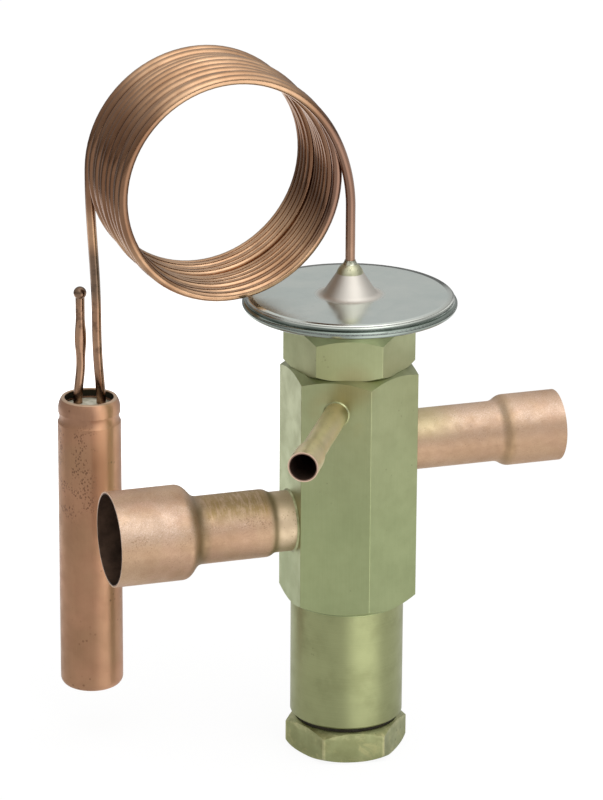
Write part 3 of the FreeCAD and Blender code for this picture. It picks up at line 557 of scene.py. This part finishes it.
def copper_bulb():
    g = Graph("bulb_copper")
    colour = tone(g, paint(170, 126, 98), paint(194, 146, 116), 60.0)
    colour = g.tint(colour, g.cloud(48.0, 3.0, 0.6, 0.46, 0.64), 0.35, paint(168, 138, 104))
    colour = g.tint(colour, g.ramp(g.z, *BULB_LIP), 0.5, paint(160, 122, 104))
    draw = g.lines(2600.0, 50.0, 3.0)
    colour = g.blend(g.ramp(draw, 0.35, 0.7, 0.0, 0.18), colour, paint(198, 150, 116))
    # Painted shade darkens the outer side, and a painted highlight makes a pale streak toward the
    # valve
    shade = g.ramp(g.x, BULB_X + 0.0005, BULB_X - 0.0025)
    colour = g.tint(colour, shade, 0.4, paint(142, 108, 80))
    streak = g.between(g.x, BULB_X + 0.0005, BULB_X + 0.0050, 0.0022)
    streak = g.times(streak, g.math("LESS_THAN", g.y, BULB_Y))
    streak = g.times(streak, g.ramp(g.z, 0.050, 0.066, 0.35, 0.9))
    colour = g.blend(streak, colour, paint(246, 194, 154))
    # A scatter of dark pits on the upper part of one side
    side = g.ramp(g.x, BULB_X + 0.0006, BULB_X - 0.0028)
    pits = g.ramp(g.cells(2000.0, g.stretch((1.0, 1.0, 0.7))), 0.28, 0.46, 1.0, 0.0)
    pits = g.times(pits, g.cloud(330.0, 3.0, 0.6, 0.47, 0.56))
    pits = g.times(pits, g.times(side, g.between(g.z, *BULB_PITS, 0.003)))
    colour = g.tint(colour, pits, 0.65, paint(90, 60, 46))
    colour = g.tint(colour, specks(g, 520.0, 0.2, 0.4), 0.45, paint(104, 70, 52))
    # Painted shade inside the mouth
    wall = g.ramp(g.z, *BULB_TURN, 0.0069, 0.00615)
    mouth_shade = g.math("LESS_THAN", g.radius_from(g.x, g.y, BULB_X, BULB_Y), wall)
    mouth_shade = g.times(mouth_shade, g.ramp(g.z, *BULB_PLUG))
    colour = g.tint(colour, mouth_shade, 0.95, paint(34, 40, 32))
    # The top edge of the mouth is paler
    colour = g.tint(colour, g.ramp(g.z, *BULB_EDGE), 0.8, paint(206, 180, 152))
    rough = g.cloud(260.0, 4.0, 0.6, 0.3, 0.7, 0.38, 0.5)
    normal = g.bump(draw, 0.00001, 0.5)
    normal = g.bump(g.noise(900.0, 3.0, 0.6), 0.00003, 0.3, normal)
    normal = g.bump(g.times(pits, -1.0), 0.0001, 0.6, normal)
    return g.finish(colour, rough, normal, 0.85, 0.8, "Z")


def zinc():
    g = Graph("zinc_steel")
    colour = tone(g, paint(208, 217, 211), paint(218, 224, 217), 70.0)
    colour = g.tint(colour, g.cloud(230.0, 4.0, 0.6, 0.45, 0.7), 0.2, paint(192, 204, 200))
    colour = g.tint(colour, specks(g, 700.0, 0.16, 0.36), 0.35, paint(110, 118, 116))
    # The pressed cone is duller and warmer than the flat disc
    radius = g.radius_from(g.x, g.y)
    cone = g.times(g.ramp(radius, *CONE_SKIRT), g.ramp(g.z, *CONE_HEIGHT))
    colour = g.tint(colour, cone, 0.9, paint(204, 197, 188))
    # The rim: its rounded edge, the underside and the seam where the shells meet
    edge = g.times(g.ramp(radius, *RIM_BAND), g.ramp(g.z, 0.1175, 0.1178))
    colour = g.tint(colour, edge, 0.8, paint(200, 202, 194))
    under = g.times(g.ramp(radius, 0.0200, 0.0230), g.ramp(g.z, 0.1170, 0.1167))
    colour = g.tint(colour, under, 0.85, paint(122, 131, 123))
    seam = g.times(g.between(g.z, *RIM_SEAM, 0.0002), g.cloud(90.0, 2.0, 0.5, 0.3, 0.6, 0.75, 1.0))
    colour = g.blend(seam, colour, paint(120, 130, 122))
    spin = g.add("ShaderNodeTexNoise")
    spin.noise_dimensions = "1D"
    g.link(g.times(radius, 4000.0), spin.inputs["W"])
    rough = g.math("MULTIPLY_ADD", cone, 0.33, g.cloud(120.0, 4.0, 0.6, 0.3, 0.7, 0.15, 0.22))
    fall = g.times(g.ramp(radius, *RIM_ROUND, 1.0, 0.0, "LINEAR"), g.ramp(g.z, 0.1180, 0.1183))
    normal = g.bump(fall, 0.0007, 1.0)
    normal = g.bump(spin.outputs["Fac"], 0.000002, 0.4, normal)
    normal = g.bump(g.noise(600.0, 3.0, 0.6), 0.00001, 0.3, normal)
    return g.finish(colour, rough, normal)


def plain(name, tones, scale, roughness, relief, metallic=1.0, spot=None):
    """A material of two tones, with fine relief and, where a spot colour is given, specks."""
    g = Graph(name)
    colour = tone(g, *tones, scale)
    if spot is not None:
        colour = g.tint(colour, specks(g, scale * 3.0, 0.24, 0.45), 0.6, spot)
    rough = g.cloud(scale * 1.7, 4.0, 0.6, 0.3, 0.7, *roughness)
    normal = g.bump(g.noise(scale * 4.0, 3.0, 0.6), relief, 0.5)
    return g.finish(colour, rough, normal, metallic)


def tube_axes():
    """The winding's own three directions: across it, up it and along its axis."""
    away = Vector((
        -math.sin(RING_YAW) * math.cos(RING_DIP),
        math.cos(RING_YAW) * math.cos(RING_DIP),
        math.sin(RING_DIP)))
    across = Vector((math.cos(RING_YAW), math.sin(RING_YAW), 0.0))
    rise = across.cross(away)
    return across, rise, away


def ring_point(angle, turns, radius=RING_RADIUS, shift=0.0):
    """A place on the winding, at that angle after so many turns."""
    across, rise, away = tube_axes()
    spot = RING_CENTRE + across * (radius * math.cos(angle)) + rise * (radius * math.sin(angle))
    return spot + away * (RING_PITCH * turns + shift)


def ring_way(angle):
    """The way that the tube runs there."""
    across, rise, away = tube_axes()
    around = rise * math.cos(angle) - across * math.sin(angle)
    lead = RING_PITCH / (2.0 * math.pi * RING_RADIUS)
    return (around + away * lead).normalized()


def bezier(a, b, c, d, count):
    """Points on a curve from a to d, without d itself."""
    points = []
    for step in range(count):
        t = step / count
        s = 1.0 - t
        points.append(a * s ** 3 + b * (3 * s * s * t) + c * (3 * s * t * t) + d * t ** 3)
    return points


def swell_at(turns):
    """How far the tube stands out from the even winding after so many turns."""
    for (start, first), (end, second) in zip(SWELL, SWELL[1:]):
        if turns <= end:
            share = (turns - start) / (end - start)
            share = share * share * (3.0 - 2.0 * share)
            return first + (second - first) * share
    return 0.0


def tube_route():
    """The sensing tube's middle line, from the cone to the bulb's plug."""
    up = Vector((0.0, 0.0, 1.0))
    foot = Vector((0.0, 0.0, CONE_TOP - COLLAR_DIP))
    riser_top = Vector((0.0, 0.0, SOLDER_TOP + RISER_HEIGHT))
    total = RING_TURNS + (RING_END - RING_START) / 360.0
    start_angle = math.radians(RING_START)
    end_angle = math.radians(RING_END)
    ring_start = ring_point(start_angle, 0.0)
    ring_end = ring_point(end_angle, total)
    points = [foot.lerp(riser_top, step / 6.0) for step in range(6)]
    points += bezier(
        riser_top, riser_top + up * RISER_BEND,
        ring_start - ring_way(start_angle) * RING_BEND, ring_start, 40)
    steps = int(total * TUBE_STEPS)
    for step in range(steps):
        turns = total * step / steps
        angle = start_angle + 2.0 * math.pi * turns
        shift = -FREE_PLAY * turns / total
        for middle, share in PARTED:
            shift += FREE_PLAY * share * min(1.0, max(0.0, (turns - middle + 0.3) / 0.6))
        points.append(ring_point(angle, turns, RING_RADIUS + swell_at(turns), shift))
    points += bezier(
        ring_end, ring_end + ring_way(end_angle) * DROP_BEND,
        DROP_POINT + up * DROP_REACH_UP, DROP_POINT, 40)
    points += bezier(
        DROP_POINT, DROP_POINT - up * DROP_REACH_DOWN,
        LEAD_ENTRY + up * BULB_BEND, LEAD_ENTRY, 24)
    points.append(LEAD_ENTRY.copy())
    points.append(LEAD_ENTRY - up * LEAD_DEPTH)
    return points


def sweep(name, points, radius, sides):
    """A smooth round tube along the points, closed at both ends."""
    verts = []
    faces = []
    way = (points[1] - points[0]).normalized()
    normal = way.orthogonal().normalized()
    for index, spot in enumerate(points):
        ahead = points[min(index + 1, len(points) - 1)]
        behind = points[max(index - 1, 0)]
        new_way = (ahead - behind).normalized()
        normal = (normal - new_way * normal.dot(new_way)).normalized()
        other = new_way.cross(normal)
        for side in range(sides):
            angle = 2.0 * math.pi * side / sides
            out = normal * math.cos(angle) + other * math.sin(angle)
            verts.append((spot + out * radius) * MM)
    for index in range(len(points) - 1):
        for side in range(sides):
            a = index * sides + side
            b = index * sides + (side + 1) % sides
            faces.append((a, b, b + sides, a + sides))
    last = (len(points) - 1) * sides
    faces.append(tuple(range(sides - 1, -1, -1)))
    faces.append(tuple(range(last, last + sides)))
    mesh = bpy.data.meshes.new(name)
    mesh.from_pydata(verts, [], faces)
    mesh.update()
    mesh.polygons.foreach_set("use_smooth", [len(f) == 4 for f in faces])
    piece = bpy.data.objects.new(name, mesh)
    bpy.context.scene.collection.objects.link(piece)
    return piece


def make_spring(steel):
    """Two lengths of one spring, which meet at the split height."""
    start = SPRING_LOW - SPRING_WIRE
    end = SPRING_HIGH + SPRING_WIRE
    lengths = (
        ("spring_lower", start, SPRING_SPLIT, "adjuster", SPRING_LOW),
        ("spring_upper", SPRING_SPLIT, end, "stem", SPRING_HIGH))
    for name, low, high, body, bearing in lengths:
        steps = int((high - low) / SPRING_PITCH * SPRING_STEPS)
        points = []
        for step in range(steps + 1):
            height = low + (high - low) * step / steps
            angle = 2.0 * math.pi * (height - start) / SPRING_PITCH
            x = SPRING_RADIUS * math.cos(angle)
            y = SPRING_RADIUS * math.sin(angle)
            points.append(Vector((x, y, height)))
        piece = sweep(name, points, SPRING_WIRE, SPRING_SIDES)
        # Both ends are ground flat
        for vertex in piece.data.vertices:
            vertex.co.z = min(max(vertex.co.z, SPRING_LOW * MM), SPRING_HIGH * MM)
        piece.data.materials.append(steel)
        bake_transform(piece)
        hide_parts("superheat_spring")


def dress():
    body = brass_body()
    cap = brass_cap()
    inner = brass_inner()
    bright = plain(
        "spring_steel", (paint(160, 162, 162), paint(190, 192, 192)), 400.0, (0.2, 0.32), 0.00001)
    braze = plain(
        "braze_metal", (paint(150, 152, 110), paint(182, 184, 142)), 500.0, (0.3, 0.42), 0.00004)
    solder = plain(
        "solder_metal", (paint(118, 120, 100), paint(214, 214, 196)), 1500.0, (0.2, 0.34), 0.0001,
        1.0, paint(54, 54, 44))
    collar = plain(
        "collar_metal", (paint(166, 166, 138), paint(192, 190, 162)), 500.0, (0.34, 0.46), 0.00003,
        0.9, paint(112, 108, 82))
    plug = plain(
        "plug_solder", (paint(196, 192, 168), paint(226, 222, 204)), 500.0, (0.4, 0.55), 0.0001, 0.5)
    rubber = plain(
        "seal_rubber", (paint(30, 30, 30), paint(42, 42, 42)), 500.0, (0.5, 0.7), 0.00003, 0.0)
    fibre = plain(
        "washer_fibre", (paint(26, 22, 8), paint(46, 39, 18)), 800.0, (0.7, 0.9), 0.00005, 0.0)
    tube = copper_tube()
    finish = {
        "valve_body": body,
        "head_nut": body,
        "gland_nut": inner,
        "cap_nut": cap,
        "inlet_stub": inlet_copper(),
        "outlet_stub": outlet_copper(),
        "equalizer_stub": equalizer_copper(),
        "inlet_braze": braze,
        "outlet_braze": braze,
        "equalizer_braze": braze,
        "capillary_solder": solder,
        "capillary_collar": collar,
        "upper_shell": zinc(),
        "lower_shell": zinc(),
        "diaphragm": bright,
        "buffer_plate": bright,
        "filler_tube": tube,
        "capillary_tube": tube,
        "bulb_shell": copper_bulb(),
        "bulb_plug": plug,
        "superheat_spring": bright,
        "valve_pin": bright,
        "push_rod": bright,
        "rod_seal": rubber,
        "spindle_seal": rubber,
        "cap_washer": fibre,
        "head_washer": fibre,
    }
    for name, node in nodes.items():
        material = finish.get(name, inner)
        node.data.materials.clear()
        node.data.materials.append(material)
    make_spring(bright)
    piece = sweep("sensing_tube", tube_route(), TUBE_RADIUS, TUBE_SIDES)
    piece.data.materials.append(tube)
    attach(piece, "valve")
    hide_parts("capillary_tube")


def floor_material():
    """A pale table. In the metal it shows a brighter patch in front, where the key light falls."""
    g = Graph("floor")
    g.shader.inputs["Base Color"].default_value = (0.86, 0.86, 0.86, 1.0)
    g.shader.inputs["Roughness"].default_value = 0.9
    reach = g.radius_from(g.x, g.y)
    lit = FLOOR_LEVEL
    for way, wide, middle, near, far, strength in FLOOR_PATCHES:
        toward = g.math("ADD", g.times(g.x, way.x), g.times(g.y, way.y))
        toward = g.math("DIVIDE", toward, g.math("MAXIMUM", reach, 0.001))
        patch = g.times(g.ramp(toward, wide, middle), g.ramp(reach, near, far))
        lit = g.math("MULTIPLY_ADD", patch, strength, lit)
    # In the metal the table is a little darker close to the valve's foot
    lit = g.times(g.math("MAXIMUM", lit, FLOOR_DARKEST), g.ramp(reach, 0.02, 0.05, 0.72, 1.0))
    ray = g.add("ShaderNodeLightPath")
    seen = g.math("MAXIMUM", ray.outputs["Is Camera Ray"], ray.outputs["Is Transmission Ray"])
    glow = g.add("ShaderNodeEmission")
    glow.inputs["Color"].default_value = (1.0, 1.0, 1.0, 1.0)
    g.link(g.math("MAXIMUM", lit, g.times(seen, FLOOR_WHITE)), glow.inputs["Strength"])
    # The rest of the mix is the table's own surface, which takes the shadow
    share = g.math("ADD", g.times(seen, 0.88), g.times(ray.outputs["Is Glossy Ray"], 0.85))
    mix = g.add("ShaderNodeMixShader")
    g.link(share, mix.inputs[0])
    g.link(g.shader.outputs[0], mix.inputs[1])
    g.link(glow.outputs[0], mix.inputs[2])
    g.link(mix.outputs[0], g.out.inputs["Surface"])
    return g.material


def make_floor():
    mesh = bpy.data.meshes.new("floor")
    signs = ((-1, -1), (1, -1), (1, 1), (-1, 1))
    corners = [(x * FLOOR_SIZE, y * FLOOR_SIZE, -FLOOR_GAP) for x, y in signs]
    mesh.from_pydata(corners, [], [(0, 1, 2, 3)])
    floor = bpy.data.objects.new("floor", mesh)
    bpy.context.scene.collection.objects.link(floor)
    mesh.materials.append(floor_material())


def make_world():
    """White for the camera, and for the metal a studio that is brightest above the front."""
    world = bpy.data.worlds.new("studio")
    bpy.context.scene.world = world
    world.use_nodes = True
    tree = world.node_tree
    tree.nodes.clear()
    out = tree.nodes.new("ShaderNodeOutputWorld")
    place = tree.nodes.new("ShaderNodeTexCoord")
    split = tree.nodes.new("ShaderNodeSeparateXYZ")
    tree.links.new(place.outputs["Generated"], split.inputs[0])

    def step(value, low, high, start, end):
        node = tree.nodes.new("ShaderNodeMapRange")
        node.interpolation_type = "SMOOTHSTEP"
        tree.links.new(value, node.inputs["Value"])
        node.inputs["From Min"].default_value = low
        node.inputs["From Max"].default_value = high
        node.inputs["To Min"].default_value = start
        node.inputs["To Max"].default_value = end
        return node.outputs[0]

    def combine(operation, first, second):
        node = tree.nodes.new("ShaderNodeMath")
        node.operation = operation
        tree.links.new(first, node.inputs[0])
        tree.links.new(second, node.inputs[1])
        return node.outputs[0]

    dot = tree.nodes.new("ShaderNodeVectorMath")
    dot.operation = "DOT_PRODUCT"
    dot.inputs[1].default_value = WORLD_WAY
    tree.links.new(place.outputs["Generated"], dot.inputs[0])
    front = step(dot.outputs["Value"], 0.55, 0.95, 0.0, WORLD_FRONT)
    height = step(split.outputs[2], 0.2, 0.9, WORLD_LOW, WORLD_HIGH)
    skirting = step(split.outputs[2], 0.0, 0.15, WORLD_SKIRTING, 1.0)
    level = combine("MULTIPLY", combine("ADD", height, front), skirting)
    ray = tree.nodes.new("ShaderNodeLightPath")
    soft = tree.nodes.new("ShaderNodeBackground")
    soft.inputs["Color"].default_value = (1.0, 1.0, 1.0, 1.0)
    tree.links.new(level, soft.inputs["Strength"])
    white = tree.nodes.new("ShaderNodeBackground")
    white.inputs["Color"].default_value = (1.0, 1.0, 1.0, 1.0)
    white.inputs["Strength"].default_value = 1.0
    seen = combine("MAXIMUM", ray.outputs["Is Camera Ray"], ray.outputs["Is Transmission Ray"])
    mix = tree.nodes.new("ShaderNodeMixShader")
    tree.links.new(seen, mix.inputs[0])
    tree.links.new(soft.outputs[0], mix.inputs[1])
    tree.links.new(white.outputs[0], mix.inputs[2])
    tree.links.new(mix.outputs[0], out.inputs["Surface"])


def make_key_light():
    light = bpy.data.lights.new("key", "AREA")
    light.shape = "RECTANGLE"
    light.size = KEY_WIDTH
    light.size_y = KEY_HEIGHT
    light.energy = KEY_RADIANCE * math.pi * KEY_WIDTH * KEY_HEIGHT
    lamp = bpy.data.objects.new("key", light)
    rise = math.radians(KEY_ELEVATION)
    way = KEY_WAY * math.cos(rise) + Vector((0.0, 0.0, math.sin(rise)))
    lamp.location = KEY_AIM + way * KEY_DISTANCE
    lamp.rotation_euler = way.to_track_quat("Z", "Y").to_euler()
    bpy.context.scene.collection.objects.link(lamp)


def make_camera():
    a = CAMERA_AZIMUTH
    e = CAMERA_ELEVATION
    right = Vector((math.cos(a), math.sin(a), 0.0))
    up = Vector((-math.sin(a) * math.sin(e), math.cos(a) * math.sin(e), math.cos(e)))
    back = right.cross(up)
    turned_right = right * math.cos(CAMERA_ROLL) + up * math.sin(CAMERA_ROLL)
    turned_up = up * math.cos(CAMERA_ROLL) - right * math.sin(CAMERA_ROLL)
    data = bpy.data.cameras.new("camera")
    data.sensor_fit = "VERTICAL"
    data.sensor_height = SENSOR_HEIGHT
    data.lens = FOCAL_PIXELS * SENSOR_HEIGHT / FRAME_HEIGHT
    data.clip_start = 0.05
    data.clip_end = 50.0
    camera = bpy.data.objects.new("camera", data)
    camera.matrix_world = Matrix((
        (turned_right.x, turned_up.x, back.x, CAMERA_PLACE.x),
        (turned_right.y, turned_up.y, back.y, CAMERA_PLACE.y),
        (turned_right.z, turned_up.z, back.z, CAMERA_PLACE.z),
        (0.0, 0.0, 0.0, 1.0)))
    bpy.context.scene.collection.objects.link(camera)
    bpy.context.scene.camera = camera


dress()
make_floor()
make_world()
make_key_light()
make_camera()
bpy.context.scene.view_settings.view_transform = "Standard"
